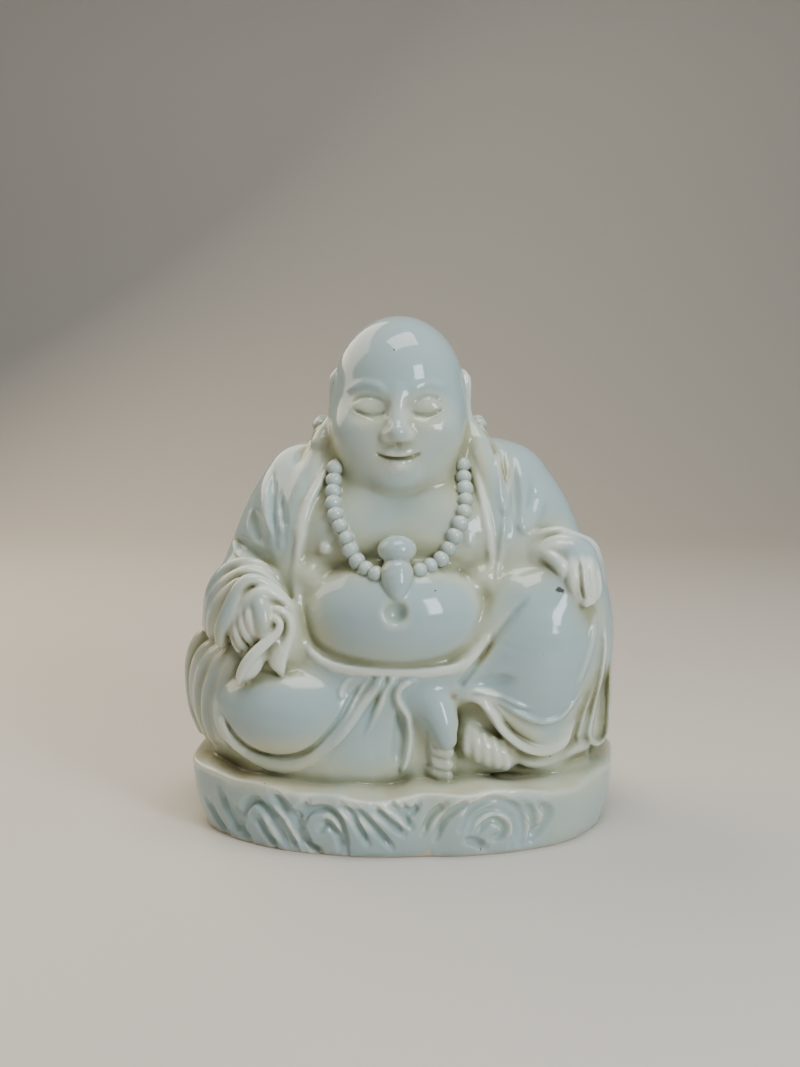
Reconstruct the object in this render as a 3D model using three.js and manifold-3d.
// Seated budai figure, moulded in porcelain in one piece with its rock plinth.
// Millimetres, +Z up, the front looks along -Y, the origin is at the middle of the underside.
//
// The whole form is one field: below zero inside the clay, above zero outside. Round masses and
// tapered limbs are joined to it with soft fillets, and folds are drawn on its front as strokes.
// The surface where the field is zero is then meshed and thinned to a light closed solid, and
// the beads and gourd of the necklace are joined to it.
import * as THREE from "three";
import { mergeVertices } from "three/addons/utils/BufferGeometryUtils.js";
import Module from "manifold-3d";

// Driving sizes.
const FIGURE_HEIGHT = 229;
const PLINTH_LENGTH = 219;
const PLINTH_DEPTH = 153;
const PLINTH_HEIGHT = 31;
const PLINTH_TAPER = 5;
const WAVE_CARVING = 3.6;
const WAVE_WIDTH = 3.2;
const BEAD_DIAMETER = 8.2;
const BEADS_A_SIDE = 11;
const BEADS_BEHIND = 17;
const PENDANT_LENGTH = 32;

// The figure's own drawing: its places and sizes below are shares of this height, measured
// from a ground plane, with its seat at the seat's height.
const DRAWN_HEIGHT = 229;
const DRAWN_SEAT = 31;
const UNIT = FIGURE_HEIGHT / DRAWN_HEIGHT;

// Meshing: the grid's step, the faces kept, and how far the plinth runs on below its cut.
const GRID_STEP = FIGURE_HEIGHT / 135;
const FACES_KEPT = 5800;
const TRIM = 3;

// Where the form is small, the thinning keeps it more closely: face, hands and feet, each with
// its middle, its reach and how many times more the faces there weigh.
const SMALL_FORMS = [
  { at: [0, -34, 206], reach: 23, care: 40 },
  { at: [-68, -42, 108], reach: 24, care: 5 },
  { at: [86, -38, 134], reach: 20, care: 5 },
  { at: [32, -52, 50], reach: 26, care: 5 },
];
const FAR = 1000;

// How far the glaze rounds out each hollow line.
const GLAZE_FILL = 0.8;

// A fold's sides fade out by this power, and reach this much farther than its width.
const SOFT_EDGE = 1.6;
const STROKE_REACH = 1.15;

// The depths between which a fold of the robe is drawn.
const FRONT = [-60, 4];

const GLAZE = new THREE.MeshStandardMaterial({ color: 0xc9d2c6, roughness: 0.18, metalness: 0 });

const wasm = await Module();
wasm.setup();

// Each step of the field has a box that it stays in, and a rule that changes the field's value.
const steps = [];

function toPlace([x, y, z]) {
  return [x * UNIT, y * UNIT, (z - DRAWN_SEAT) * UNIT + PLINTH_HEIGHT];
}

function softMin(a, b, k) {
  const h = Math.max(k - Math.abs(a - b), 0) / k;
  return Math.min(a, b) - h * h * k * 0.25;
}

function ease(t) {
  const c = Math.min(Math.max(t, 0), 1);
  return c * c * (3 - 2 * c);
}

function join(value, distance, k, cut) {
  return cut ? -softMin(-value, distance, k) : softMin(value, distance, k + GLAZE_FILL);
}

// An ellipsoid, joined with a fillet of about k, or cut away. turn is in degrees about X, Y, Z.
function mass(at, radii, k, { turn = [0, 0, 0], cut = false } = {}) {
  const centre = toPlace(at);
  const r = radii.map((v) => v * UNIT);
  const blend = k * UNIT;
  const [a, b, c] = turn.map(THREE.MathUtils.degToRad);
  const m = new THREE.Matrix4().makeRotationFromEuler(new THREE.Euler(a, b, c, "ZYX")).elements;
  const reach = [0, 1, 2].map((i) => Math.hypot(m[i] * r[0], m[4 + i] * r[1], m[8 + i] * r[2]) + blend + 3);
  const rule = (value, x, y, z) => {
    const dx = x - centre[0];
    const dy = y - centre[1];
    const dz = z - centre[2];
    const u = (m[0] * dx + m[1] * dy + m[2] * dz) / r[0];
    const v = (m[4] * dx + m[5] * dy + m[6] * dz) / r[1];
    const w = (m[8] * dx + m[9] * dy + m[10] * dz) / r[2];
    const k0 = Math.hypot(u, v, w);
    const k1 = Math.hypot(u / r[0], v / r[1], w / r[2]) + 1e-6;
    return join(value, (k0 * (k0 - 1)) / k1, blend, cut);
  };
  steps.push({ low: centre.map((v, i) => v - reach[i]), high: centre.map((v, i) => v + reach[i]), rule });
}

// A smooth curve through stations, with every column carried along.
function smoothPath(stations, per = 4) {
  if (stations.length === 2) return stations;
  const last = stations.length - 1;
  const mirror = (p, q) => p.map((v, i) => 2 * v - q[i]);
  const s = [mirror(stations[0], stations[1]), ...stations, mirror(stations[last], stations[last - 1])];
  const out = [];
  for (let i = 0; i < last; i++) {
    const [a, b, c, d] = s.slice(i, i + 4);
    for (let j = 0; j < per; j++) {
      const t = j / per;
      out.push(b.map((v, n) => 0.5 * (2 * v + (c[n] - a[n]) * t
        + (2 * a[n] - 5 * v + 4 * c[n] - d[n]) * t ** 2 + (3 * v - a[n] - 3 * c[n] + d[n]) * t ** 3)));
    }
  }
  out.push(stations[last]);
  return out;
}

// A tube through stations of x, y, z and radius. flat stretches its section along an axis.
function limb(stations, k, { cut = false, flat = [1, 1, 1], per = 4 } = {}) {
  const line = smoothPath(stations, per).map(([x, y, z, r]) => [...toPlace([x, y, z]), r * UNIT]);
  const blend = k * UNIT;
  const margin = blend + 3;
  const span = (pick) => [0, 1, 2].map((i) => (
    pick(...line.map((p) => p[i] + pick(-1, 1) * (p[3] * flat[i] + margin)))
  ));
  const low = span(Math.min);
  const high = span(Math.max);
  const pieces = line.slice(1).map((b, i) => {
    const a = line[i];
    const d = [0, 1, 2].map((n) => (b[n] - a[n]) / flat[n]);
    return { a, d, square: d[0] ** 2 + d[1] ** 2 + d[2] ** 2 + 1e-9, grow: b[3] - a[3] };
  });
  const rule = (value, px, py, pz) => {
    let best = FAR;
    for (const { a, d, square, grow } of pieces) {
      const x = (px - a[0]) / flat[0];
      const y = (py - a[1]) / flat[1];
      const z = (pz - a[2]) / flat[2];
      const t = Math.min(Math.max((x * d[0] + y * d[1] + z * d[2]) / square, 0), 1);
      best = Math.min(best, Math.hypot(x - t * d[0], y - t * d[1], z - t * d[2]) - a[3] - t * grow);
    }
    return join(value, best, blend, cut);
  };
  steps.push({ low, high, rule });
}

// Distance from (u, v) to a flat path, and how far along it the nearest place is, 0 to 1.
function measurePath(line) {
  let total = 0;
  const pieces = line.slice(1).map((b, i) => {
    const a = line[i];
    const length = Math.hypot(b[0] - a[0], b[1] - a[1]);
    total += length;
    return { a, d: [b[0] - a[0], b[1] - a[1]], length, start: total - length };
  });
  return (u, v) => {
    let best = FAR;
    let share = 0;
    for (const { a, d, length, start } of pieces) {
      const x = u - a[0];
      const y = v - a[1];
      const t = Math.min(Math.max((x * d[0] + y * d[1]) / (length ** 2 + 1e-9), 0), 1);
      const away = Math.hypot(x - t * d[0], y - t * d[1]);
      if (away < best) {
        best = away;
        share = (start + t * length) / total;
      }
    }
    return [best, share];
  };
}

// A ridge, or a groove where height is below 0, drawn on what is there and seen from the front.
// It runs through points of x and z, and works only between the two depths.
function stroke(points, width, height, depth, { taper = [0.25, 0.25], fade = 4 } = {}) {
  const line = smoothPath(points, 5).map(([x, z]) => {
    const p = toPlace([x, 0, z]);
    return [p[0], p[2]];
  });
  const measure = measurePath(line);
  const w0 = STROKE_REACH * width * UNIT;
  const [near, far] = depth.map((v) => v * UNIT);
  const xs = line.map((p) => p[0]);
  const zs = line.map((p) => p[1]);
  const rule = (value, x, y, z) => {
    const [away, share] = measure(x, z);
    let ends = 1;
    if (taper[0] > 0) ends *= ease(share / taper[0]);
    if (taper[1] > 0) ends *= ease((1 - share) / taper[1]);
    const w = w0 * (0.45 + 0.55 * ends);
    const bump = Math.max(1 - (away / w) ** 2, 0) ** SOFT_EDGE;
    return value - height * UNIT * ends * bump * ease((y - near) / fade) * ease((far - y) / fade);
  };
  steps.push({
    low: [Math.min(...xs) - w0, near, Math.min(...zs) - w0],
    high: [Math.max(...xs) + w0, far, Math.max(...zs) + w0],
    rule,
  });
}

function fieldAt(x, y, z) {
  let value = FAR;
  for (const { low, high, rule } of steps) {
    if (x > low[0] && x < high[0] && y > low[1] && y < high[1] && z > low[2] && z < high[2]) {
      value = rule(value, x, y, z);
    }
  }
  return value;
}

// The depth, in the drawing's units, of the surface first met from the front at x and z.
function frontOf(x, z) {
  const step = 2;
  let before = FAR;
  for (let y = -88; y < 60; y += step) {
    const value = fieldAt(...toPlace([x, y, z]));
    if (value < 0) return y - step + (step * before) / (before - value);
    before = value;
  }
  return 60;
}

// A tube that lies on the front of what is there: r is one radius or one for each point.
function roll(points, r, sink, k = 1.5) {
  const radii = Array.isArray(r) ? r : points.map(() => r);
  const line = smoothPath(points.map((p, i) => [...p, radii[i]]), 2);
  limb(line.map(([x, z, radius]) => [x, frontOf(x, z) + sink, z, radius]), k, { per: 1 });
}

function body() {
  mass([2, 16, 62], [92, 50, 46], 4);
  mass([1, 16, 112], [82, 46, 88], 12);
  mass([0, 24, 150], [60, 36, 50], 14);
  limb([[-48, 8, 172, 23], [-60, 4, 150, 23.5], [-72, -2, 124, 22]], 14);
  limb([[54.3, 8, 170.4, 24.8], [65.4, 6, 151.6, 25.8], [79, 0, 124, 22]], 16);
  mass([-55, 0, 146], [20, 28, 34], 10);
  mass([57, 0, 146], [20, 30, 34], 10);
  mass([58, -16, 140], [10, 16, 16], 8);
  mass([46, 8, 184.6], [13, 16, 11], 6);
  mass([78, 18, 72], [34, 40, 48], 14);
  mass([-80, 16, 66], [30, 40, 36], 14);
}

function backOfRobe() {
  // The collar runs round the neck, and plain long folds hang behind.
  limb([
    [-37, -3, 187, 5], [-38, 12, 194, 6.4], [-26, 33, 192, 6.6], [0, 42, 189, 6.8],
    [26, 33, 192, 6.6], [38, 12, 194, 6.4], [37, -3, 188, 5],
  ], 4);
  stroke([[-14, 182], [-20, 150], [-30, 112], [-40, 66]], 7, 2.4, [20, 96], { taper: [0.3, 0.2] });
  stroke([[-44, 184], [-54, 156], [-66, 122], [-76, 84]], 6, 2.2, [10, 96], { taper: [0.3, 0.2] });
  stroke([[16, 182], [22, 148], [30, 110], [38, 64]], 7, 2.4, [20, 96], { taper: [0.3, 0.2] });
  stroke([[46, 184], [58, 156], [70, 122], [80, 84]], 6, 2.2, [10, 96], { taper: [0.3, 0.2] });
  stroke([[-2, 170], [-4, 130], [-2, 92], [0, 60]], 5, -1.6, [20, 96], { taper: [0.4, 0.3] });
  stroke(
    [[-96, 44], [-60, 39], [-20, 37], [20, 37], [60, 39], [94, 44]],
    5,
    2.6,
    [16, 96],
    { taper: [0.05, 0.05] },
  );
}

function chestAndBelly() {
  mass([0, -8, 160], [46, 26, 32], 10);
  mass([-24, -14, 150], [28, 24, 21], 14);
  mass([26, -14, 150], [28, 24, 21], 14);
  mass([-1, -22, 147], [30, 19, 12], 8);
  mass([-37, -18, 138], [15, 13, 10], 6);
  mass([34, -18, 137], [15, 13, 10], 6);
  mass([-2, -20, 111], [51, 43, 34], 2.6);
  mass([46, -26, 112], [9, 12, 18], 5);
  mass([-50, -26, 112], [8, 12, 18], 5);
}

function lyingLeg() {
  mass([-50, -22, 62], [41, 41, 27], 6);
  mass([-64, -30, 70], [24, 27, 18], 10);
  limb([[-74, -30, 60, 20], [-48, -36, 62, 24], [-20, -36, 64, 21], [-4, -36, 66, 17]], 10);
  limb([[-84, -14, 42, 14], [-56, -32, 38, 17], [-24, -38, 44, 20], [-4, -38, 50, 17]], 8);
  mass([-30, -37, 38], [44, 20, 16], 8);
  mass([4, -28, 76], [50, 27, 16], 8);
}

function raisedKnee() {
  limb([
    [66, -25, 114.5, 22.5], [69, -26, 103, 29], [65, -24, 86, 33], [62, -20, 70, 33],
    [66, -11, 57, 27],
  ], 6);
  limb([[62, -32, 118, 15], [53, -38, 99, 13], [41, -43, 84, 10], [31, -46, 76, 6]], 6);
  mass([90, -12, 98], [20, 28, 40], 10);
  mass([86, -6, 56], [22, 26, 24], 10);
  mass([80, -26, 124], [16, 20, 20], 8);
  mass([70, -20, 34], [28, 24, 7], 5);
}

function sleeves() {
  limb(
    [[96, 0, 124, 9.4], [99, 0, 98, 10.4], [100.4, 2, 70, 10.6], [100.8, 2, 46, 9.4]],
    6,
    { flat: [1, 1.8, 1] },
  );
  mass([-91, 3, 70], [15, 31, 27], 6);
  limb([[-88, -16, 92, 10], [-93, -14, 80, 12.4], [-95.4, -11, 66, 12.4], [-94, -9, 50, 11]], 5);
  mass([-76, -12, 112], [20, 22, 22], 8);
  mass([-70, -24, 97], [19, 19, 14], 8);
  mass([83, -14, 134], [20, 24, 16], 6);
}

function robeOpening() {
  limb([
    [-40, -9, 192, 6], [-46, -20, 172, 6.6], [-52.6, -24, 148, 6.8], [-55, -26, 124, 6.8],
    [-53.6, -33, 104, 6.4], [-44, -42.6, 91, 6], [-24, -49.6, 84, 5.5], [6, -51.6, 83, 5.5],
    [30, -48.6, 86, 5.5], [41, -43, 95, 4.6],
  ], 5, { flat: [1, 0.8, 1] });
  limb(
    [[40, -11, 194, 6], [46, -22, 176, 6], [50, -27, 152, 5.6], [51, -30, 130, 5], [51, -34, 114, 4]],
    5,
    { flat: [1, 0.8, 1] },
  );
  roll([
    [-34, 190], [-37, 183], [-41.2, 175.4], [-45.5, 167.8], [-48.1, 158.5], [-49.9, 148.3],
    [-51.2, 136.4], [-51.2, 120], [-49.6, 106], [-44, 95.4], [-33, 89.4], [-16, 87.5], [0, 87],
    [16, 87.5], [28, 89], [37, 93], [44, 101],
  ], 2.2, -0.2, 1.0);
  roll(
    [[33, 194], [36.4, 185], [39.5, 174], [42.6, 161], [44.7, 148], [45.8, 134], [45.2, 124]],
    1.9,
    -0.2,
    1.0,
  );
  stroke(
    [[-47, 130], [-38, 131.8], [-30, 134.2], [-22, 135.6]],
    2.6,
    -1.0,
    [-80, 0],
    { taper: [0.1, 0.4] },
  );
  stroke(
    [[20, 135.6], [29.6, 132.8], [36.6, 130.3], [44, 128.4]],
    2.6,
    -1.0,
    [-80, 0],
    { taper: [0.4, 0.1] },
  );
  mass([-44, -30, 130], [9, 9, 8], 5);
  mass([41, -31, 129], [9, 9, 8], 5);
  limb([[-2, -70, 119, 5], [-2, -61, 117.5, 4.6]], 4.0, { cut: true });
  mass([-37, -35, 145.2], [3.0, 3.4, 3.0], 1.2);
  mass([34.2, -35.4, 148.6], [2.8, 3.4, 2.8], 1.2);
}

function armFolds() {
  // Left upper arm.
  stroke([[-55, 193], [-53.4, 181], [-53.4, 170.5], [-54.6, 162], [-56, 153], [-57.6, 143]], 6, 1.7, FRONT);
  stroke([[-59.8, 172], [-58.4, 162.4], [-56.8, 152]], 2.5, -1.7, FRONT, { taper: [0.4, 0.3] });
  stroke([[-61.8, 171], [-61.2, 159], [-60, 150.4], [-59, 141]], 2.4, 1.5, FRONT, { taper: [0.4, 0.25] });
  stroke([[-62.4, 187], [-64.4, 172], [-63.8, 160.4], [-61, 148]], 3.4, -1.9, FRONT, { taper: [0.4, 0.3] });
  stroke(
    [[-67, 184], [-69, 169], [-67.6, 157.6], [-64.8, 148], [-61, 137]],
    5,
    2.2,
    FRONT,
    { taper: [0.3, 0.2] },
  );
  stroke([[-75, 164], [-71.4, 153], [-66.6, 143.6]], 5, -2.0, FRONT, { taper: [0.4, 0.3] });
  stroke(
    [[-88, 146.4], [-79.4, 143.2], [-73, 139.6], [-66, 134.6]],
    4.6,
    -3.0,
    [-60, 14],
    { taper: [0.35, 0.35] },
  );
  stroke([[-85, 140], [-78.6, 137.8], [-73, 135.4]], 2.4, 1.0, [-60, 14]);
  // Right upper arm.
  stroke(
    [[60.7, 190], [62, 178], [62.4, 168], [61.4, 160.5], [59.6, 151]],
    4.6,
    1.8,
    FRONT,
    { taper: [0.3, 0.15] },
  );
  stroke([[75, 170], [69.8, 163], [64.8, 157.4], [60, 151]], 4.4, 1.6, FRONT, { taper: [0.4, 0.15] });
  stroke([[66.6, 176], [66.6, 168], [64, 160.6]], 3.4, -1.1, FRONT, { taper: [0.4, 0.2] });
  stroke([[57, 188], [57.8, 174], [57.4, 160], [55.6, 144]], 3, -1.1, FRONT, { taper: [0.3, 0.3] });
  stroke(
    [[53.4, 195], [55, 184], [55, 175.4], [53.6, 167], [52.2, 159]],
    2.4,
    1.1,
    FRONT,
    { taper: [0.3, 0.15] },
  );
  stroke(
    [[48.6, 197], [49.8, 187], [50.6, 176.5], [50.8, 168], [52, 159]],
    2.2,
    1.1,
    FRONT,
    { taper: [0.3, 0.15] },
  );
  stroke([[52, 163], [51.2, 151], [49.6, 140], [47.2, 126]], 2.0, 1.3, FRONT, { taper: [0.2, 0.3] });
}

function leftCuff() {
  // The sleeve's end: arched folds, each nearer than the last, round the fist.
  limb([
    [-100, -10, 102, 3], [-98, -13, 110, 3.4], [-95.6, -17, 120, 3.6], [-91.2, -21, 128.2, 3.8],
    [-84.7, -24, 133.8, 3.8], [-78, -27, 136, 3.6], [-71.6, -28, 135.2, 3.4], [-66, -28, 131.8, 3.2],
    [-60.6, -28, 126.2, 3], [-56.2, -28, 119.6, 2.8], [-52.8, -28.6, 112.3, 2.6],
    [-51, -29.6, 105, 2.2],
  ], 1.0);
  limb([
    [-98.6, -15, 100.6, 2.8], [-97.2, -19.4, 108.6, 3.1], [-94, -24, 117.6, 3.2],
    [-88.6, -28, 125.6, 3.2], [-81.8, -31.4, 131, 3.2], [-75.4, -33, 132.8, 3.2],
    [-69.2, -33.4, 131, 3.2], [-63.6, -33.4, 126.6, 3.1], [-58.8, -33, 120.6, 3],
    [-55.2, -33, 113.6, 2.8], [-53, -34, 106, 2.4],
  ], 0.7);
  limb([
    [-96.2, -21, 99.4, 2.8], [-94.6, -25, 107, 3], [-91, -30, 115.4, 3.1], [-86, -34, 122.8, 3],
    [-81, -37, 127.8, 2.6], [-77, -38.6, 129.6, 1.8],
  ], 0.7);
  mass([-78, -11, 112], [21.4, 25.4, 23.2], 4);
  limb([
    [-88.8, -38.6, 99, 3.4], [-88.2, -41.4, 105.6, 3.8], [-85.4, -43.4, 113, 3.9],
    [-82.2, -44.4, 120, 3.8], [-78.8, -44.6, 126.6, 3.6], [-75, -44.2, 130.2, 3.4],
    [-70.6, -43.6, 130.4, 3.2], [-66, -42.8, 128.2, 3.1], [-61, -41.8, 124.4, 3],
    [-56.6, -40.8, 119.2, 3], [-53, -40, 112.6, 3], [-51, -40.4, 105, 3], [-50.2, -41.6, 97.6, 2.6],
  ], 0.7);
  limb([
    [-82.8, -43, 103, 1.8], [-81.2, -44.4, 110, 2.2], [-78.2, -45.8, 117.2, 2.5],
    [-73.8, -46.8, 123, 2.7], [-68.6, -47, 125.4, 2.8], [-63.2, -46.2, 124.4, 2.8],
    [-58.2, -45, 120.4, 2.8], [-54.6, -44, 114.4, 2.8], [-52.8, -44, 107.4, 2.4],
  ], 0.7);
}

function rightCuff() {
  limb([
    [60, -21, 131, 2], [62.4, -25.6, 140, 2.5], [65.4, -29, 146.2, 2.7], [70.4, -31, 150.6, 2.9],
    [78.2, -32, 153, 3], [86.6, -31, 150.2, 3], [95.4, -27.2, 145.6, 3.2], [99.6, -22.8, 138, 3],
    [101.8, -18.5, 129, 2.8], [103.8, -14, 115, 2.4], [105.2, -10, 101, 1.8],
  ], 1.4);
  limb([
    [63.6, -27, 131, 1.2], [66, -32, 138.6, 1.7], [69.2, -35.2, 144.6, 2.2],
    [73.8, -36.8, 148.6, 2.4], [80.6, -37.4, 150, 2.5], [87.4, -36.2, 148, 2.5],
    [93, -33.2, 143.2, 2.5], [96.8, -29, 135.8, 2.4], [99.2, -24.6, 126, 2],
  ], 1.0);
  limb([
    [67.6, -34, 139.4, 0.9], [71.6, -38, 144.8, 1.4], [78, -40, 147.2, 1.8], [85, -39.8, 146.2, 1.8],
    [90.2, -38.2, 143, 1.8], [94.4, -35, 137.6, 1.7], [96.8, -31, 130, 1.3],
  ], 0.9);
  mass([62, -18, 142], [12, 14, 18], 8);
  mass([85, -34, 141], [11, 9.4, 9], 3);
  // The edge of the robe between belly and knee.
  limb([
    [56, -32, 132, 1.4], [52.4, -37.6, 125, 2.4], [48.4, -41, 116, 3.2], [44.6, -42.8, 108, 3.4],
    [39, -44.8, 99, 3.2], [32, -46.8, 90, 2.8],
  ], 7);
}

function lowerSleeves() {
  // Strands of the left sleeve fan down from the cuff.
  limb([
    [-95, -8, 98, 2.8], [-101.4, -6, 95.4, 3.8], [-105.6, -4, 90, 4.4], [-108.6, -2, 80, 4.7],
    [-109.2, 0, 68, 4.6], [-107.8, 2, 54, 4.6], [-104.6, 3, 43, 4],
  ], 1.6);
  limb([
    [-88, -24, 95.4, 2.8], [-94.4, -21.6, 93, 3.8], [-99.8, -17.6, 88.8, 4.4],
    [-103.4, -13.6, 81.6, 4.8], [-105.4, -10, 72, 4.8], [-105.2, -8, 61, 4.6], [-102.6, -6, 50, 4.2],
  ], 1.6);
  limb([
    [-86.4, -30.6, 95, 2.8], [-90.8, -29.4, 91.4, 3.8], [-96, -26, 86, 4.6], [-99.8, -22.4, 77.6, 5],
    [-101.6, -19.4, 67.6, 5], [-101.2, -17.4, 57, 4.8], [-98.6, -16, 47, 4.4],
  ], 1.6);
  limb([
    [-84, -34.4, 95, 2.8], [-85.8, -35, 91, 3.8], [-90.2, -33.4, 85, 4.6], [-94.2, -30.4, 76, 4.9],
    [-96.6, -27.6, 66, 4.8], [-97, -25.6, 56, 4.6], [-94.6, -24.4, 46, 4],
  ], 1.6);
  limb([
    [-82, -36.6, 93.4, 2.6], [-82.8, -38, 88.6, 3.2], [-85.6, -37.6, 82.4, 3.6],
    [-88.4, -35.6, 74.4, 3.8], [-90.4, -33, 65, 3.8], [-91.2, -30.6, 56, 3.6], [-90, -28.6, 47, 3.2],
  ], 1.6);
  // The right sleeve hangs, and turns up at the bottom in a loop.
  stroke(
    [[99.4, 82], [96.4, 72], [93.4, 63], [91.4, 55], [90.6, 48], [92, 42.6]],
    1.9,
    1.8,
    [-60, 12],
    { taper: [0.4, 0.15] },
  );
  stroke([
    [103, 112], [102.6, 94], [101, 78], [98.2, 62], [96.6, 50], [98.8, 42.6], [103.4, 40.4],
    [107.2, 44], [108, 56], [108.2, 74], [107.6, 94],
  ], 2.1, 2.2, [-50, 16], { taper: [0.15, 0.2] });
  stroke(
    [[104.6, 86], [104.4, 74], [103.6, 62], [103, 53], [103, 47.4]],
    2.6,
    -0.9,
    [-50, 16],
    { taper: [0.4, 0.2] },
  );
  stroke([[98, 114], [94.6, 98], [90.4, 85], [85.6, 75]], 2.6, 1.4, [-60, 12]);
}

function thighFolds() {
  // The cloth that hangs round the lying leg.
  roll([
    [-88, 60], [-84.5, 52], [-76, 44.5], [-64, 40.5], [-50, 41.5], [-38, 49.5], [-28, 60.5],
    [-21, 71], [-13.5, 83],
  ], [1.6, 2.6, 3.2, 3.8, 4, 3.6, 3.2, 2.6, 1.6], 0.6);
  stroke([
    [-88, 66], [-84.5, 58], [-78, 50.5], [-68, 45.5], [-57, 45], [-46, 48.5], [-37, 56.5], [-29, 66],
    [-23, 76], [-17, 84.5],
  ], 1.5, -1.6, [-90, 0], { taper: [0.1, 0.1] });
  stroke(
    [[-7.5, 86], [-12, 79], [-17, 72], [-22, 64.5], [-30, 55], [-40, 45]],
    3,
    2.6,
    [-90, 0],
    { taper: [0.1, 0.5] },
  );
  stroke(
    [[-2, 86], [-7, 79], [-9.5, 71.5], [-13, 63], [-19, 52]],
    2.6,
    2.4,
    [-90, 0],
    { taper: [0.1, 0.5] },
  );
  stroke([[-22, 85], [-26.5, 81.5], [-29, 77], [-26.5, 74.5]], 1.8, 1.5, [-90, 0], { taper: [0.3, 0.2] });
  stroke([[-12, 86], [-17, 78.5], [-22, 71], [-27, 63.5]], 1.6, -1.3, [-90, 0], { taper: [0.1, 0.5] });
  stroke([[-5, 86], [-9.5, 78], [-13, 70], [-18, 61]], 1.6, -1.3, [-90, 0], { taper: [0.1, 0.5] });
  stroke([[0, 72], [0, 62], [-1, 50], [-3, 38]], 3.6, -2.6, [-90, 0], { taper: [0.3, 0.3] });
  stroke([
    [10, 83], [4.5, 82.5], [0, 79.5], [-1.2, 75], [1, 69.5], [4, 63.5], [5.2, 55], [4.2, 46],
    [2, 38.5], [-0.5, 33],
  ], 2.3, 3.4, [-90, 0], { taper: [0.12, 0.12] });
  // Cloth held by the fist.
  mass([-61.5, -44, 96], [12, 8, 12], 3);
  limb([
    [-59.5, -49, 104.5, 2.8], [-61, -50.6, 98.4, 4.4], [-60.8, -52, 92.6, 4.2],
    [-58.8, -52.6, 87.4, 2],
  ], 0.8, { flat: [1, 0.8, 1] });
  limb([
    [-66.6, -52, 98.4, 2.2], [-70, -53, 92.4, 3.4], [-72.6, -53, 87.4, 3.2],
    [-75.6, -51.6, 82.4, 1.6],
  ], 0.8, { flat: [1.2, 0.8, 1] });
  limb([
    [-64.4, -49, 116.4, 1.6], [-61.2, -50.4, 117.4, 2.1], [-57.6, -50, 115.8, 2.5],
    [-55, -49, 111.8, 2.7], [-54.4, -49, 106.4, 2.8], [-55.6, -50, 100.6, 2.8],
    [-57.4, -51.6, 94.6, 2.8], [-58.2, -52.6, 89.2, 2.4], [-57.6, -52.4, 85, 1.2],
  ], 0.5);
  limb([
    [-63.8, -52, 113.2, 1.5], [-60.6, -53.2, 113.2, 2], [-58.6, -53.4, 110.6, 2.2],
    [-59.8, -54, 106.8, 2.4], [-63.8, -55.2, 103, 2.7], [-68.6, -56.4, 98.6, 2.9],
    [-72.8, -56.6, 94, 2.9], [-76, -55.6, 89.4, 2.7], [-78.2, -53.8, 84.4, 2.1],
    [-79.2, -51.8, 80.2, 1.1],
  ], 0.5);
}

function kneeFolds() {
  // The hem is two rolls side by side, from the feet round to the sleeve.
  limb([
    [26.6, -49, 73.4, 2], [32.6, -51, 74.8, 2.5], [40, -52.4, 72.4, 2.8], [45.8, -52.6, 66, 3],
    [50.4, -52.2, 58.4, 3], [57.4, -51, 51.4, 3], [65.4, -49, 46.8, 3], [74.6, -45.4, 45.2, 2.8],
    [82, -41, 48.2, 2.4], [85.4, -38, 55.8, 1.6],
  ], 2.6);
  limb([
    [31.6, -50, 78, 1.6], [37.4, -51, 77.2, 1.9], [43, -51.4, 74.2, 2.1], [49, -51, 68.4, 2.2],
    [54.2, -50.2, 61.8, 2.3], [60.6, -49, 56, 2.3], [69.2, -46.8, 51.8, 2.2], [77, -43.2, 51.6, 2],
    [83.4, -39, 55.4, 1.4],
  ], 2.2);
  // The robe's lower edge shows under it.
  limb([
    [56, -45, 43, 2.6], [63, -45.4, 39.8, 3.2], [70.4, -44, 38.6, 3.4], [78, -40.6, 39.8, 3.4],
    [86, -35, 42, 3.4], [94, -27, 42, 3],
  ], 2);
  // Folds fan out from where the knee meets the belt.
  stroke(
    [[32, 76.6], [40, 77], [46.4, 75.4], [54, 72.4], [61, 69.6], [67, 69]],
    1.9,
    1.7,
    [-90, 0],
    { taper: [0.25, 0.3] },
  );
  stroke([
    [42, 74.6], [49.4, 71.4], [57, 66.8], [64.8, 62.8], [72.8, 61], [80.6, 63.6], [88.2, 72.2],
    [94, 83.8],
  ], 2.1, 2.0, [-90, 0], { taper: [0.2, 0.4] });
  mass([66, -36, 52], [16, 12, 9], 6);
  mass([47, -40, 66], [9, 10, 9], 5);
  stroke([[32.4, 80.4], [42.6, 82], [51.8, 83], [58.6, 83.4]], 3.4, -1.9, [-90, 0], { taper: [0.4, 0.4] });
  stroke([
    [65.6, 127], [60.2, 120], [54.1, 112.4], [48.5, 105.4], [42, 97], [36.6, 89.6], [31.2, 82.8],
    [28, 78.4],
  ], 1.5, -2.3, [-90, 0], { taper: [0.25, 0.05] });
}

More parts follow.
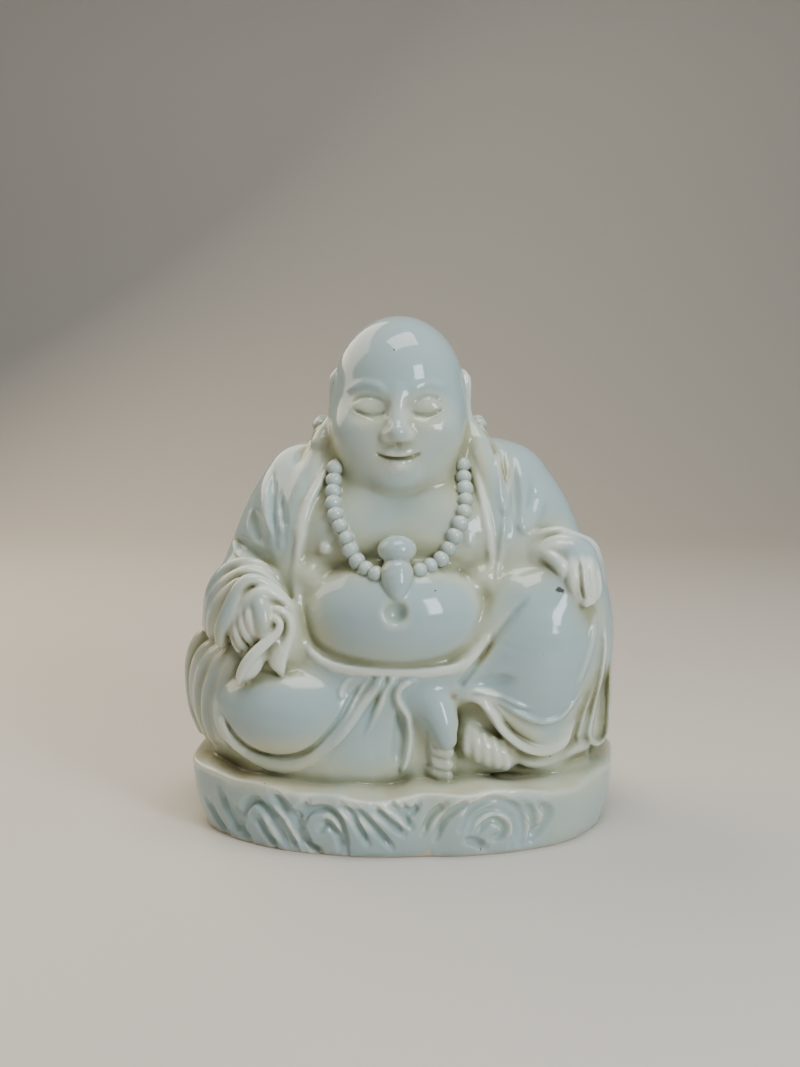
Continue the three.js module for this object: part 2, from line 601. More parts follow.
function hands() {
  // The hand on the knee.
  mass([89.4, -33, 132], [9.6, 11.5, 13.6], 3);
  mass([85, -35.4, 143], [10.4, 6.6, 5.6], 2);
  limb([[80, -33, 146, 4.4], [85.6, -38.4, 142.6, 4.2], [87.6, -42, 137, 3.6]], 2);
  limb([[91, -33, 143.6, 4], [93.4, -38.4, 139, 3.6], [94.4, -40, 133, 3]], 2);
  limb([
    [83, -38.4, 144.4, 2], [84.4, -42.8, 140, 2.7], [84.4, -45.4, 134.6, 3], [85, -46.4, 128.4, 3.1],
    [87.4, -45, 122, 2.8],
  ], 0.9);
  limb([
    [87.4, -39.4, 144, 2], [88.8, -44, 139.4, 2.6], [89, -46.6, 133.6, 2.8], [90, -47.4, 126.4, 2.8],
    [91.2, -45.8, 119.8, 2.5],
  ], 0.9);
  limb([
    [91.2, -38.6, 142.6, 2], [92.8, -43, 138, 2.5], [93.2, -45.2, 132.6, 2.7],
    [93.9, -45.8, 126, 2.7], [94.2, -44.2, 120.6, 2.4],
  ], 0.9);
  limb([
    [94.4, -36.4, 140.4, 1.8], [96, -39.6, 135.8, 2.3], [97, -41.4, 130.6, 2.4],
    [97.2, -41.6, 125.4, 2.4], [96.6, -40.6, 121.6, 2.1],
  ], 0.9);
  limb([
    [70.6, -35.4, 143.6, 2.6], [74.6, -39.8, 141.6, 3.2], [78.4, -42.8, 138.2, 3.2],
    [80.2, -44, 134.8, 2.8], [80, -43, 131.8, 2],
  ], 0.8);
  mass([73, -29.6, 141.6], [8, 7, 6.4], 4);
  stroke(
    [[86, 142.5], [87.6, 139], [88, 133], [88.7, 126.8], [90.1, 120.9]],
    1.1,
    -1.4,
    [-90, -30],
    { taper: [0.3, 0.1] },
  );
  stroke(
    [[90.2, 141.1], [91.4, 136.6], [91.9, 131.3], [91.9, 125.8], [93, 121.2]],
    1.0,
    -0.4,
    [-90, -30],
    { taper: [0.3, 0.1] },
  );
  stroke(
    [[93.2, 140.8], [94.7, 135.7], [94.8, 129.6], [94.7, 123.1], [95.3, 119.6]],
    0.9,
    -0.4,
    [-90, -30],
    { taper: [0.3, 0.1] },
  );
  // The fist that holds the cloth.
  mass([-70, -40, 112], [11, 10, 11.5], 2);
  mass([-69.5, -43, 119], [8.5, 8, 6], 2);
  mass([-75, -41, 107], [8.6, 7.4, 10], 2);
  limb([[-62.6, -47, 115, 4], [-62.8, -49, 108.6, 3.6]], 1.6);
  mass([-55, -42, 101], [8, 6.4, 15], 4);
  mass([-60, -38, 108], [10, 10, 12], 3);
  limb([
    [-69, -46, 121.6, 4.4], [-67.4, -50.6, 116.4, 4.6], [-66.4, -53, 110.6, 4.4],
    [-67, -52.6, 106, 3.4],
  ], 0.7);
  limb([
    [-73.4, -46.4, 118.6, 2.6], [-73, -50.4, 113, 2.8], [-71.2, -52, 107.2, 2.6],
    [-69.6, -51, 103.4, 2],
  ], 0.4);
  limb([
    [-77, -45, 115, 2.5], [-76.6, -48.8, 109.6, 2.6], [-74.4, -50.6, 104.2, 2.5],
    [-72, -50, 100.6, 1.9],
  ], 0.4);
  limb([
    [-80.2, -43, 111.4, 2.3], [-80, -46.8, 106.2, 2.5], [-78, -48.8, 101, 2.4],
    [-75.4, -48.6, 97.6, 1.8],
  ], 0.4);
  limb([[-82.4, -41.6, 106, 1.9], [-81.6, -44.6, 101, 2.1], [-79.2, -46.4, 96.8, 2]], 0.4);
}

function feet() {
  // The upright foot, seen from its toes.
  mass([13, -45, 69.5], [13.5, 12, 12], 3);
  limb([[2, -42, 75, 9], [10, -46.4, 73.6, 10.4], [17, -51.4, 68.6, 10], [20.6, -55, 62, 8]], 3);
  limb([[18.6, -55, 66, 7], [21, -57.6, 60, 6.4], [22.4, -58.4, 54.4, 5.4]], 1.2);
  limb([[16, -47, 62, 9], [18, -47.4, 50, 8.6], [18.6, -47, 38, 8]], 3);
  limb([[7, -44, 72, 7], [8, -46, 60, 6.4], [8, -46.4, 47, 6], [8.6, -46, 33, 6]], 2);
  for (const [z, r, y] of [[47.4, 3.5, -56.6], [41, 3.3, -56], [35, 3.1, -55.2], [30, 2.8, -54.2]]) {
    limb([[15.6, y + 4.6, z + 4.2, 2.4], [18.4, y + 0.8, z + 1, 3], [23, y, z, r]], 0.5);
  }
  // The foot that lies on the rock.
  limb([[34.6, -46, 53.4, 7.4], [38.4, -46.6, 48.6, 9], [45, -46.8, 45.2, 9.6], [50.6, -46.6, 43, 8]], 2);
  mass([40, -38, 62], [13, 10, 11], 4);
  mass([44, -36, 40], [15, 15, 8], 4);
  mass([33, -38, 38], [12, 13, 12], 4);
  limb(
    [[33.8, -50.4, 57.6, 1.6], [33, -52.8, 52.4, 2.2], [32.8, -53, 48, 2.2], [33.4, -52.2, 45.8, 1.8]],
    1.2,
  );
  limb(
    [[37, -52, 56, 1.5], [37.6, -54.6, 50.6, 2.1], [37.9, -54.8, 45.8, 2.1], [38.4, -53.8, 43.2, 1.8]],
    1.2,
  );
  limb(
    [[41.2, -53, 54.6, 1.5], [42.1, -55.2, 49, 2.1], [42.5, -55.4, 44, 2.1], [43, -54.2, 41.4, 1.8]],
    1.2,
  );
  limb([
    [45.6, -53, 52.8, 1.5], [46.9, -55.2, 47.4, 2.1], [47.6, -55.4, 42.4, 2.1],
    [47.9, -54.2, 40, 1.8],
  ], 1.2);
  limb([
    [49.6, -51.6, 50.4, 1.5], [51.4, -53.8, 45.4, 2.1], [52.4, -53.8, 40.8, 2.1],
    [52.4, -52.8, 38.6, 1.8],
  ], 1.2);
}

function head() {
  limb([[0, 8, 180, 30], [0, 4, 196, 26]], 4);
  mass([0, -12, 181], [30, 21, 10], 2.4);
  mass([-0.5, 1, 222], [33.5, 36, 38], 4);
  mass([-1, -6, 202], [35, 33, 27], 10);
  mass([-1, -10, 189], [29, 25, 17], 8);
}

function ears() {
  for (const s of [-1, 1]) {
    mass([s * 32.2, 2, 216], [2.8, 7, 15], 2);
    limb([
      [s * 32, -2, 231, 2], [s * 34, -2, 227.4, 2.4], [s * 34.2, -2, 219, 2.3],
      [s * 34, -3, 212, 2.6], [s * 35, -4, 205.6, 3.7], [s * 38.6, -8, 199, 4.9],
      [s * 40.2, -10.4, 195.4, 5.2],
    ], 1);
    limb([[s * 33, -1, 209, 2.6], [s * 36.4, -5, 202, 3.6], [s * 39.2, -9, 195.6, 4]], 1.6);
  }
  // The collar's roll behind the neck.
  limb([
    [-38.6, -2, 195.6, 3], [-41, 4, 199, 4.2], [-41, 12, 200, 4.4], [-37.5, 23, 199.4, 4.4],
    [-29, 33, 198, 4.4], [-15, 40.5, 196.6, 4.4], [0, 43, 196, 4.4], [15, 40.5, 196.6, 4.4],
    [29, 33, 198, 4.4], [37.5, 23, 199.4, 4.4], [41, 12, 200, 4.4], [41, 4, 199, 4.2],
    [38.6, -2, 195.6, 3],
  ], 3);
}

function face() {
  for (const s of [-1, 1]) {
    mass([-1 + s * 18, -24, 201.5], [12, 10, 10.5], 9);
    mass([-1 + s * 14, -37.6, 214.6], [9, 4, 4.6], 6, { cut: true });
    mass([-1 + s * 14, -27.4, 214.2], [8.4, 6.6, 5.2], 2.6);
    stroke(
      [[-1 + s * 5.6, 213], [-1 + s * 9.6, 211.4], [-1 + s * 15, 211], [-1 + s * 22.4, 213.8]],
      1.1,
      -1.2,
      [-60, -20],
      { taper: [0.15, 0.15] },
    );
    stroke(
      [[-1 + s * 5.6, 216.6], [-1 + s * 12, 219.6], [-1 + s * 18, 219.4], [-1 + s * 23.6, 216]],
      1.2,
      -0.7,
      [-60, -18],
    );
    stroke(
      [[-1 + s * 4.6, 221], [-1 + s * 11, 225.6], [-1 + s * 19, 226], [-1 + s * 26, 221.6]],
      2.6,
      0.7,
      [-60, -14],
    );
    mass([-1 + s * 4.9, -38.6, 201.2], [3.2, 3.9, 2.9], 1.8);
    mass([-1 + s * 3.2, -41.4, 198.6], [1.2, 1.8, 0.9], 0.8, { cut: true });
  }
  limb([[-1, -32.5, 223, 2], [-1, -35, 216, 2.4], [-1, -38.4, 209, 3], [-1, -41.4, 203.6, 4.2]], 4);
  mass([-1, -42, 202.2], [4.2, 4.4, 3.6], 2);
  stroke([[-1, 198.6], [-1, 194.8]], 1.5, -0.7, [-60, -20], { taper: [0.2, 0.2] });
  limb([
    [-10.6, -34, 192.8, 1], [-5.4, -37.6, 192.6, 1.7], [-1, -38.6, 192, 1.6],
    [3.4, -37.6, 192.6, 1.7], [8.6, -34, 192.8, 1],
  ], 1.6);
  limb([[-8, -34.8, 188.6, 1.2], [-1, -37.6, 187.2, 2.3], [6, -34.8, 188.6, 1.2]], 1.6);
  stroke(
    [[-13, 193], [-7, 190.6], [-1, 190], [5, 190.6], [11, 193]],
    1.0,
    -1.5,
    [-60, -20],
    { taper: [0.12, 0.12] },
  );
  mass([-1, -30.4, 180.6], [10.5, 7, 6.2], 5);
}

// Beads along a path of x and z, lying on the front. Hand-made, so no two are quite alike.
function string(points) {
  const path = new THREE.CatmullRomCurve3(points.map(([x, z]) => new THREE.Vector3(x, 0, z)));
  const proud = 0.9;
  return path.getSpacedPoints(BEADS_A_SIDE - 1).map(({ x, z }, i) => {
    const bead = new THREE.SphereGeometry(BEAD_DIAMETER / 2 * (1 + 0.06 * Math.sin(5.1 * i)), 8, 6);
    bead.scale(1, 1, 0.93 + 0.05 * Math.sin(3.3 * i));
    return bead.translate(...toPlace([x, frontOf(x, z) - proud, z]));
  });
}

// Behind, the string passes under the ear lobes and lies on the collar's roll. There its cord is
// drawn in the clay, and the beads are set on the cord.
const CORD_RADIUS = 2.7;
const NAPE = [
  [-38.6, -2, 198.4], [-41, 4, 203.4], [-41.2, 12, 204.8], [-37.5, 23, 204], [-29, 33, 202.6], [-15, 40.5, 201.2],
  [0, 43, 200.6], [15, 40.5, 201.2], [29, 33, 202.6], [37.5, 23, 204], [41.2, 12, 204.8], [41, 4, 203.4],
  [38.6, -2, 198.4],
];

function layCord() {
  limb(NAPE.map((p) => [...p, CORD_RADIUS]), 2);
}

function napeString() {
  const path = new THREE.CatmullRomCurve3(NAPE.map((p) => new THREE.Vector3(...p)));
  return path.getSpacedPoints(BEADS_BEHIND - 1).map(({ x, y, z }) => {
    const bead = new THREE.SphereGeometry(BEAD_DIAMETER / 2, 6, 4);
    return bead.translate(...toPlace([x, y, z]));
  });
}

// The gourd: a round bulb over a tapered one that ends in a small flat foot. It hangs from its
// top and leans out over the belly. Its profile is given as shares of its length.
const GOURD_TOP = [-1.5, -44, 154];
const GOURD_LEAN = 26;
const GOURD_PROFILE = [
  [0, 0], [0.12, 0], [0.14, 0.05], [0.2, 0.24], [0.25, 0.4], [0.25, 0.47], [0.215, 0.52],
  [0.22, 0.54], [0.27, 0.6], [0.295, 0.7], [0.29, 0.79], [0.25, 0.89], [0.16, 0.965], [0, 1],
];

function gourd() {
  const toPoint = ([r, s]) => new THREE.Vector2(r * PENDANT_LENGTH, (s - 1) * PENDANT_LENGTH);
  const profile = GOURD_PROFILE.map(toPoint);
  const body = new THREE.LatheGeometry(profile, 16);
  body.rotateX(Math.PI / 2 - THREE.MathUtils.degToRad(GOURD_LEAN));
  return body.translate(...toPlace(GOURD_TOP));
}

function necklace() {
  return [
    ...string([[-32.6, 184], [-33, 169], [-27.2, 152.6], [-21.4, 140.4], [-11.6, 134.8]]),
    ...string([[31.4, 185.6], [32.6, 169], [27.8, 154.4], [21, 141.6], [9.4, 136.2]]),
    ...napeString(),
    gourd(),
  ];
}

// The rock plinth. Its outline is a rounded oblong that leans in below and is rippled like
// stone. Waves and curls are carved on its wall, drawn as distance round the wall and height.
const PLINTH_MIDDLE = 2;
const ROUNDNESS = 2.3;
const WALL_DRAWN = { length: 219, height: 31 };
const WAVES = [
  [[-123, 16], [-120, 9], [-115, 2]],
  [[-114, 25], [-110, 14], [-105, 4]],
  [[-106, 19], [-104, 9], [-100, 2]],
  [[-101, 11], [-100, 19], [-94, 24], [-88, 21], [-84, 15], [-80, 8], [-76, 2]],
  [[-95, 15], [-92, 14], [-89, 8], [-85, 2]],
  [[-86, 22], [-79, 15], [-75, 8], [-72, 2]],
  [[-82, 27], [-75, 19], [-70, 11], [-67, 3]],
  [[-84, 30], [-77, 26], [-71, 19], [-66, 11], [-63, 3]],
  [[-70, 18], [-67, 23], [-63, 27]],
  [[-67, 14], [-63, 22], [-55, 24], [-48, 23], [-42, 18], [-40, 11], [-40, 3]],
  [[-56, 14], [-52, 17], [-47, 14], [-44, 9], [-44, 4]],
  [[-67, 8], [-63, 4], [-58, 2]],
  [[-42, 27], [-35, 22], [-30, 15], [-25, 8]],
  [[-34, 26], [-26, 21], [-18, 14], [-9, 6]],
  [[-21, 26], [-9, 18], [0, 13]],
  [[-12, 28], [-4, 24], [5, 16]],
  [[-2, 27], [5, 23], [10, 27]],
  [[13, 13], [19, 21], [28, 27]],
  [[22, 10], [27, 19], [36, 25], [45, 28]],
  [[48, 12], [53, 16], [60, 18], [66, 14], [64, 10], [58, 9]],
  [[43, 14], [48, 20], [56, 23], [64, 23], [71, 18], [73, 10], [71, 5]],
  [[38, 15], [45, 24], [55, 28], [65, 27], [74, 21], [77, 12], [76, 5]],
  [[76, 25], [81, 20], [83, 13], [82, 6]],
  [[85, 24], [90, 19], [88, 12], [83, 6]],
  [[42, 9], [50, 7], [55, 4]],
];

function outline(angle, length, depth) {
  const c = Math.abs(Math.cos(angle)) / (length / 2);
  const s = Math.abs(Math.sin(angle)) / (depth / 2);
  return (c ** ROUNDNESS + s ** ROUNDNESS) ** (-1 / ROUNDNESS);
}

// Distance round the rim from the middle of the front, as a table over the whole turn.
function rimArc() {
  const count = 360;
  const corner = (i) => {
    const angle = (i / count) * 2 * Math.PI - Math.PI / 2;
    const r = outline(angle, PLINTH_LENGTH, PLINTH_DEPTH);
    return [r * Math.cos(angle), r * Math.sin(angle)];
  };
  const arc = [0];
  for (let i = 1; i <= count / 2; i++) {
    const [a, b] = [corner(i - 1), corner(i)];
    arc.push(arc[i - 1] + Math.hypot(b[0] - a[0], b[1] - a[1]));
  }
  return (turn) => {
    const at = (Math.abs(turn) / Math.PI) * (count / 2);
    const i = Math.min(Math.floor(at), count / 2 - 1);
    return Math.sign(turn) * (arc[i] + (at - i) * (arc[i + 1] - arc[i]));
  };
}

function plinth() {
  const wide = PLINTH_LENGTH / WALL_DRAWN.length;
  const tall = PLINTH_HEIGHT / WALL_DRAWN.height;
  const waveWidth = WAVE_WIDTH * tall;
  const waves = WAVES.map((points) => {
    const line = smoothPath(points, 5).map(([s, z]) => [s * wide, z * tall]);
    const low = [0, 1].map((i) => Math.min(...line.map((p) => p[i])) - waveWidth);
    const high = [0, 1].map((i) => Math.max(...line.map((p) => p[i])) + waveWidth);
    return { measure: measurePath(line), low, high };
  });
  const arc = rimArc();
  const rule = (value, px, py, pz) => {
    const x = px - PLINTH_MIDDLE;
    const rho = Math.hypot(x, py);
    const turn = Math.atan2(x, -py);
    const around = Math.atan2(py, x);
    const share = Math.min(Math.max(pz / PLINTH_HEIGHT, 0), 1.15);
    const foot = outline(around, PLINTH_LENGTH - 2 * PLINTH_TAPER, PLINTH_DEPTH - PLINTH_TAPER);
    const rim = outline(around, PLINTH_LENGTH, PLINTH_DEPTH);
    const ripple = 1.1 * Math.sin(6 * around + 0.6) + 0.8 * Math.sin(11 * around + 2)
      + 0.5 * Math.sin(19 * around);
    const belly = 1.6 * Math.sin(Math.PI * Math.min(share, 1));
    const radius = foot * (1 - share) + rim * share + ripple * (0.35 + 0.65 * share) + belly;
    const step = 0.02;
    const ahead = outline(around + step, PLINTH_LENGTH, PLINTH_DEPTH);
    const behind = outline(around - step, PLINTH_LENGTH, PLINTH_DEPTH);
    let wall = (rho - radius) / Math.hypot(1, (ahead - behind) / (2 * step * rim));
    const s = arc(turn);
    for (const { measure, low, high } of waves) {
      if (s < low[0] || s > high[0] || pz < low[1] || pz > high[1]) continue;
      const [away, along] = measure(s, pz);
      const ends = 0.3 + 0.7 * ease(along / 0.2) * ease((1 - along) / 0.2);
      const dip = Math.max(1 - (away / waveWidth) ** 2, 0) ** SOFT_EDGE;
      wall += WAVE_CARVING * ends * dip * ease((wall + 8) / 6);
    }
    const edge = 1.6 * Math.sin(5 * around + 1) + 0.9 * Math.sin(12 * around)
      + 4.5 * ease((-x - 78) / 22) + ease((x - 76) / 30)
      + (0.6 + 2.4 * ease((x - 45) / 30)) * ease((radius - rho - 1) / 18);
    const top = pz - PLINTH_HEIGHT - edge;
    const stone = Math.max(-softMin(-wall, -top, 2.4), -pz - TRIM);
    return softMin(value, stone, 2);
  };
  const margin = 8;
  steps.push({
    low: [-PLINTH_LENGTH / 2 - margin, -PLINTH_DEPTH / 2 - margin, -TRIM - 2 * GRID_STEP],
    high: [PLINTH_LENGTH / 2 + margin, PLINTH_DEPTH / 2 + margin, PLINTH_HEIGHT + 16],
    rule,
  });
}

// Samples the field on an even grid of nodes.
function sample() {
  const low = [0, 1, 2].map((i) => Math.min(...steps.map((s) => s.low[i])) - GRID_STEP);
  const high = [0, 1, 2].map((i) => Math.max(...steps.map((s) => s.high[i])) + GRID_STEP);
  const [nx, ny, nz] = low.map((v, i) => Math.ceil((high[i] - v) / GRID_STEP) + 1);
  const field = new Float64Array(nx * ny * nz).fill(FAR);
  for (const step of steps) {
    const from = step.low.map((v, i) => Math.max(Math.ceil((v - low[i]) / GRID_STEP), 0));
    const to = step.high.map((v, i) => Math.min(Math.floor((v - low[i]) / GRID_STEP), [nx, ny, nz][i] - 1));
    for (let i = from[0]; i <= to[0]; i++) {
      const x = low[0] + i * GRID_STEP;
      for (let j = from[1]; j <= to[1]; j++) {
        const y = low[1] + j * GRID_STEP;
        for (let k = from[2]; k <= to[2]; k++) {
          const n = (i * ny + j) * nz + k;
          field[n] = step.rule(field[n], x, y, low[2] + k * GRID_STEP);
        }
      }
    }
  }
  // Values a hair from zero would make needle faces, so they are moved off it.
  const hair = 0.08 * GRID_STEP;
  for (let n = 0; n < field.length; n++) {
    if (Math.abs(field[n]) < hair) field[n] = field[n] < 0 ? -hair : hair;
  }
  // Air that cannot be reached from outside is a pocket in the clay, and is filled.
  const open = new Uint8Array(field.length);
  const edge = [0];
  open[0] = 1;
  while (edge.length) {
    const n = edge.pop();
    const k = n % nz;
    const j = Math.floor(n / nz) % ny;
    const i = Math.floor(n / (ny * nz));
    const near = [];
    if (i > 0) near.push(n - ny * nz);
    if (i < nx - 1) near.push(n + ny * nz);
    if (j > 0) near.push(n - nz);
    if (j < ny - 1) near.push(n + nz);
    if (k > 0) near.push(n - 1);
    if (k < nz - 1) near.push(n + 1);
    for (const m of near) {
      if (open[m] === 0 && field[m] > 0) {
        open[m] = 1;
        edge.push(m);
      }
    }
  }
  for (let n = 0; n < field.length; n++) {
    if (field[n] > 0 && open[n] === 0) field[n] = -hair;
  }
  return { field, low, size: [nx, ny, nz] };
}

// The zero surface. Each cell is six tetrahedra round its long diagonal, which always gives a
// closed surface. Corner c of a cell lies at its bits: 4 for x, 2 for y and 1 for z.
function surface({ field, low, size: [nx, ny, nz] }) {
  const offset = [0, 1, 2, 3, 4, 5, 6, 7].map((c) => (c >> 2) * ny * nz + ((c >> 1) & 1) * nz + (c & 1));
  const tetrahedra = [[0, 4, 6, 7], [0, 6, 2, 7], [0, 2, 3, 7], [0, 3, 1, 7], [0, 1, 5, 7], [0, 5, 4, 7]];
  const points = [];
  const faces = [];
  const known = new Map();
  const corner = (base, c) => [Math.floor(base / (ny * nz)) + (c >> 2),
    (Math.floor(base / nz) % ny) + ((c >> 1) & 1), (base % nz) + (c & 1)];
  const vertex = (base, a, b) => {
    const [p, q] = a < b ? [a, b] : [b, a];
    const key = (base + offset[p]) * 8 + (q ^ p);
    let found = known.get(key);
    if (found === undefined) {
      const [f, g] = [field[base + offset[p]], field[base + offset[q]]];
      const [from, to] = [corner(base, p), corner(base, q)];
      found = points.length / 3;
      known.set(key, found);
      for (let i = 0; i < 3; i++) {
        points.push(low[i] + (from[i] + ((to[i] - from[i]) * f) / (f - g)) * GRID_STEP);
      }
    }
    return found;
  };
  const side = (list, bit) => list.reduce((sum, c) => sum + ((c >> bit) & 1), 0) / list.length;
  for (let i = 0; i < nx - 1; i++) {
    for (let j = 0; j < ny - 1; j++) {
      for (let k = 0; k < nz - 1; k++) {
        const base = (i * ny + j) * nz + k;
        let inside = 0;
        for (let c = 0; c < 8; c++) if (field[base + offset[c]] < 0) inside++;
        if (inside === 0 || inside === 8) continue;
        for (const tet of tetrahedra) {
          const full = tet.filter((c) => field[base + offset[c]] < 0);
          if (full.length === 0 || full.length === 4) continue;
          const empty = tet.filter((c) => field[base + offset[c]] >= 0);
          let ring;
          if (full.length === 1) ring = empty.map((e) => vertex(base, full[0], e));
          else if (full.length === 3) ring = full.map((f) => vertex(base, f, empty[0]));
          else ring = [[0, 0], [0, 1], [1, 1], [1, 0]].map(([f, e]) => vertex(base, full[f], empty[e]));
          // Faces look from the full side to the empty one.
          const away = [2, 1, 0].map((bit) => side(empty, bit) - side(full, bit));
          const n = normal(points, ring[0], ring[1], ring[2]);
          if (n[0] * away[0] + n[1] * away[1] + n[2] * away[2] < 0) ring.reverse();
          faces.push(ring[0], ring[1], ring[2]);
          if (ring.length === 4) faces.push(ring[0], ring[2], ring[3]);
        }
      }
    }
  }
  return { points, faces };
}

function normal(p, a, b, c) {
  const [ux, uy, uz] = [p[3 * b] - p[3 * a], p[3 * b + 1] - p[3 * a + 1], p[3 * b + 2] - p[3 * a + 2]];
  const [vx, vy, vz] = [p[3 * c] - p[3 * a], p[3 * c + 1] - p[3 * a + 1], p[3 * c + 2] - p[3 * a + 2]];
  return [uy * vz - uz * vy, uz * vx - ux * vz, ux * vy - uy * vx];
}

// A heap of edges, the cheapest first.
class Queue {
  items = [];

  add(item) {
    const { items } = this;
    let i = items.push(item) - 1;
    while (i > 0 && items[(i - 1) >> 1].cost > item.cost) {
      items[i] = items[(i - 1) >> 1];
      i = (i - 1) >> 1;
    }
    items[i] = item;
  }

  take() {
    const { items } = this;
    const first = items[0];
    const item = items.pop();
    if (items.length === 0) return first;
    let i = 0;
    for (let child = 1; child < items.length; child = 2 * i + 1) {
      if (child + 1 < items.length && items[child + 1].cost < items[child].cost) child++;
      if (items[child].cost >= item.cost) break;
      items[i] = items[child];
      i = child;
    }
    items[i] = item;
    return first;
  }
}

// Joins the ends of the edges that change the form least, until few enough faces are left. A
// point's error is its squared distance to the planes of the faces that it stands for, and it
// counts for more on the small forms.
function thin({ points: p, faces }, goal) {
  const count = p.length / 3;
  const planes = new Float64Array(count * 10);
  const small = SMALL_FORMS.map((form) => ({ ...form, at: toPlace(form.at), reach: form.reach * UNIT }));
  const careFor = (n) => small.find(({ at, reach }) => (
    Math.hypot(p[3 * n] - at[0], p[3 * n + 1] - at[1], p[3 * n + 2] - at[2]) < reach
  ))?.care ?? 1;
  const fans = Array.from({ length: count }, () => []);
  const version = new Int32Array(count);
  const seen = new Int32Array(count);
  let look = 0;
  for (let f = 0; f < faces.length; f += 3) {
    const n = normal(p, faces[f], faces[f + 1], faces[f + 2]);
    const length = Math.hypot(n[0], n[1], n[2]) || 1e-12;
    const [x, y, z] = [n[0] / length, n[1] / length, n[2] / length];
    const a = 3 * faces[f];
    const d = -(x * p[a] + y * p[a + 1] + z * p[a + 2]);
    const plane = [x * x, x * y, x * z, x * d, y * y, y * z, y * d, z * z, z * d, d * d];
    const weight = length * careFor(faces[f]);
    for (let c = 0; c < 3; c++) {
      const v = faces[f + c];
      fans[v].push(f);
      for (let i = 0; i < 10; i++) planes[10 * v + i] += plane[i] * weight;
    }
  }
  const q = new Float64Array(10);
  const at = [0, 0, 0];
  // Finds the best place for the joined point, in at, and returns what it costs.
  const settle = (u, v) => {
    for (let i = 0; i < 10; i++) q[i] = planes[10 * u + i] + planes[10 * v + i];
    const [mx, my, mz] = [0, 1, 2].map((i) => (p[3 * u + i] + p[3 * v + i]) / 2);
    const spread = Math.hypot(...[0, 1, 2].map((i) => p[3 * u + i] - p[3 * v + i]));
    // A faint pull to the middle keeps the answer steady on flat ground.
    const pull = 1e-3 * (q[0] + q[4] + q[7]) + 1e-9;
    const [a, b, c, e, f, g] = [q[0] + pull, q[1], q[2], q[4] + pull, q[5], q[7] + pull];
    const [r, s, t] = [pull * mx - q[3], pull * my - q[6], pull * mz - q[8]];
    const [ca, cb, cc] = [e * g - f * f, c * f - b * g, b * f - c * e];
    const det = a * ca + b * cb + c * cc;
    at[0] = (ca * r + cb * s + cc * t) / det;
    at[1] = (cb * r + (a * g - c * c) * s + (b * c - a * f) * t) / det;
    at[2] = (cc * r + (b * c - a * f) * s + (a * e - b * b) * t) / det;
    if (!(Math.hypot(at[0] - mx, at[1] - my, at[2] - mz) < 2 * spread + 0.1)) {
      at[0] = mx;
      at[1] = my;
      at[2] = mz;
    }
    const [x, y, z] = at;
    const error = q[0] * x * x + 2 * q[1] * x * y + 2 * q[2] * x * z + 2 * q[3] * x + q[4] * y * y
      + 2 * q[5] * y * z + 2 * q[6] * y + q[7] * z * z + 2 * q[8] * z + q[9];
    return Math.max(error, 0) + 1e-6 * spread * spread;
  };
  const queue = new Queue();
  const offer = (u, v) => queue.add({ u, v, stamp: version[u] + version[v], cost: settle(u, v) });
  const neighbours = (v) => {
    look++;
    const found = [];
    for (const f of fans[v]) {
      for (let c = 0; c < 3; c++) {
        const n = faces[f + c];
        if (n !== v && seen[n] !== look) {
          seen[n] = look;
          found.push(n);
        }
      }
    }
    return found;
  };
  // Whether every face round v, but those with other, keeps its side and stays no sliver.
  const holds = (v, other, x, y, z) => {
    for (const f of fans[v]) {
      const [i, j, k] = [faces[f], faces[f + 1], faces[f + 2]];
      if (i === other || j === other || k === other) continue;
      const before = normal(p, i, j, k);
      const old = [p[3 * v], p[3 * v + 1], p[3 * v + 2]];
      p[3 * v] = x;
      p[3 * v + 1] = y;
      p[3 * v + 2] = z;
      const after = normal(p, i, j, k);
      let longest = 0;
      for (const [m, n] of [[i, j], [j, k], [k, i]]) {
        const square = (p[3 * m] - p[3 * n]) ** 2 + (p[3 * m + 1] - p[3 * n + 1]) ** 2
          + (p[3 * m + 2] - p[3 * n + 2]) ** 2;
        longest = Math.max(longest, square);
      }
      [p[3 * v], p[3 * v + 1], p[3 * v + 2]] = old;
      const [l0, l1] = [Math.hypot(...before), Math.hypot(...after)];
      if (before[0] * after[0] + before[1] * after[1] + before[2] * after[2] < 0.25 * l0 * l1) return false;
      if (l1 < 0.04 * longest) return false;
    }
    return true;
  };
  for (let v = 0; v < count; v++) for (const n of neighbours(v)) if (n > v) offer(v, n);
  let left = faces.length / 3;
  while (left > goal && queue.items.length) {
    const { u, v, stamp } = queue.take();
    if (fans[u].length === 0 || fans[v].length === 0 || stamp !== version[u] + version[v]) continue;
    const ring = new Set(neighbours(u));
    if (neighbours(v).filter((n) => ring.has(n)).length !== 2) continue;
    settle(u, v);
    const [x, y, z] = at;
    if (!holds(u, v, x, y, z) || !holds(v, u, x, y, z)) continue;
    for (const f of fans[v]) {
      const corners = [faces[f], faces[f + 1], faces[f + 2]];
      if (corners.includes(u)) {
        for (const n of corners) if (n !== v) fans[n].splice(fans[n].indexOf(f), 1);
        faces[f] = -1;
        left--;
      } else {
        faces[f + corners.indexOf(v)] = u;
        fans[u].push(f);
      }
    }
    fans[v] = [];
    p[3 * u] = x;
    p[3 * u + 1] = y;
    p[3 * u + 2] = z;
    for (let i = 0; i < 10; i++) planes[10 * u + i] += planes[10 * v + i];
    version[u] += version[v] + 1;
    for (const n of neighbours(u)) offer(u, n);
  }
  const kept = [];
  for (let f = 0; f < faces.length; f += 3) {
    if (faces[f] >= 0) kept.push(faces[f], faces[f + 1], faces[f + 2]);
  }
  return { points: p, faces: kept };
}

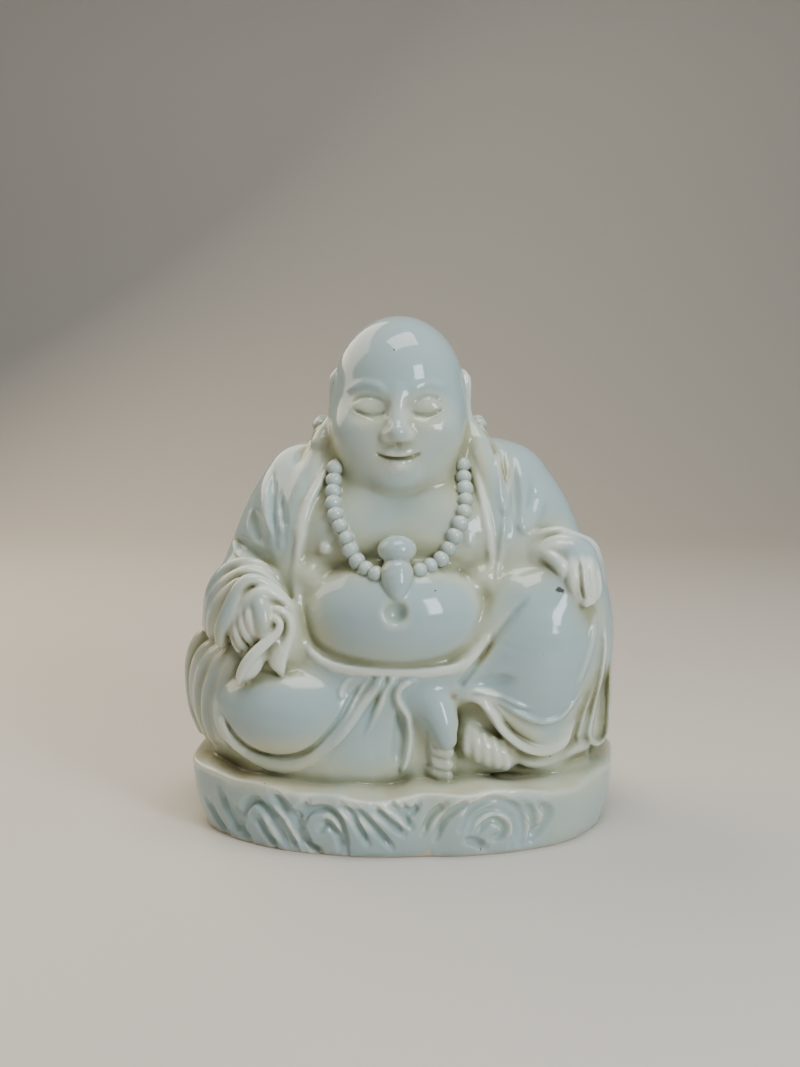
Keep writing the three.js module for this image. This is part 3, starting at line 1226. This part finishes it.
// Keeps only the points in use, in flat arrays.
function compact({ points, faces }) {
  const order = new Map();
  for (const n of faces) if (!order.has(n)) order.set(n, order.size);
  const used = [...order.keys()].flatMap((n) => [points[3 * n], points[3 * n + 1], points[3 * n + 2]]);
  return {
    numProp: 3,
    vertProperties: new Float32Array(used),
    triVerts: new Uint32Array(faces.map((n) => order.get(n))),
  };
}

body();
backOfRobe();
chestAndBelly();
lyingLeg();
raisedKnee();
sleeves();
robeOpening();
armFolds();
leftCuff();
rightCuff();
lowerSleeves();
thighFolds();
kneeFolds();
hands();
feet();
head();
ears();
face();
layCord();
const beads = necklace();
plinth();

function solidOf(geometry) {
  geometry.deleteAttribute("normal");
  geometry.deleteAttribute("uv");
  const merged = mergeVertices(geometry, 1e-3);
  const corners = Array.from(merged.index.array);
  const faces = [];
  for (let i = 0; i < corners.length; i += 3) {
    const [a, b, c] = corners.slice(i, i + 3);
    if (a !== b && b !== c && c !== a) faces.push(a, b, c);
  }
  return new wasm.Manifold(new wasm.Mesh({
    numProp: 3,
    vertProperties: new Float32Array(merged.attributes.position.array),
    triVerts: new Uint32Array(faces),
  }));
}

// The underside is cut flat, square to the height, and the necklace is joined on.
function finish(rough, extras) {
  const box = new THREE.BoxGeometry(2 * PLINTH_LENGTH, 2 * PLINTH_LENGTH, 2 * FIGURE_HEIGHT);
  const above = solidOf(box.translate(0, 0, FIGURE_HEIGHT));
  let solid = new wasm.Manifold(new wasm.Mesh(compact(rough))).intersect(above);
  for (const extra of extras) solid = solid.add(solidOf(extra));
  // A sliver of air shut in between bead and robe is filled: its shell has less than no volume.
  return wasm.Manifold.compose(solid.decompose().filter((shell) => shell.volume() > 0)).getMesh();
}

function geometryOf({ vertProperties, triVerts }) {
  const geometry = new THREE.BufferGeometry();
  geometry.setAttribute("position", new THREE.BufferAttribute(new Float32Array(vertProperties), 3));
  geometry.setIndex(new THREE.BufferAttribute(new Uint32Array(triVerts), 1));
  geometry.computeVertexNormals();
  return geometry;
}

const geometry = geometryOf(finish(thin(surface(sample()), FACES_KEPT), beads));

// The origin goes to the middle of the underside.
geometry.computeBoundingBox();
const middle = geometry.boundingBox.getCenter(new THREE.Vector3());
geometry.translate(-middle.x, -middle.y, 0);

const figure = new THREE.Mesh(geometry, GLAZE);
figure.name = "budai_figure";

const object = new THREE.Group();
object.add(figure);
export default object;
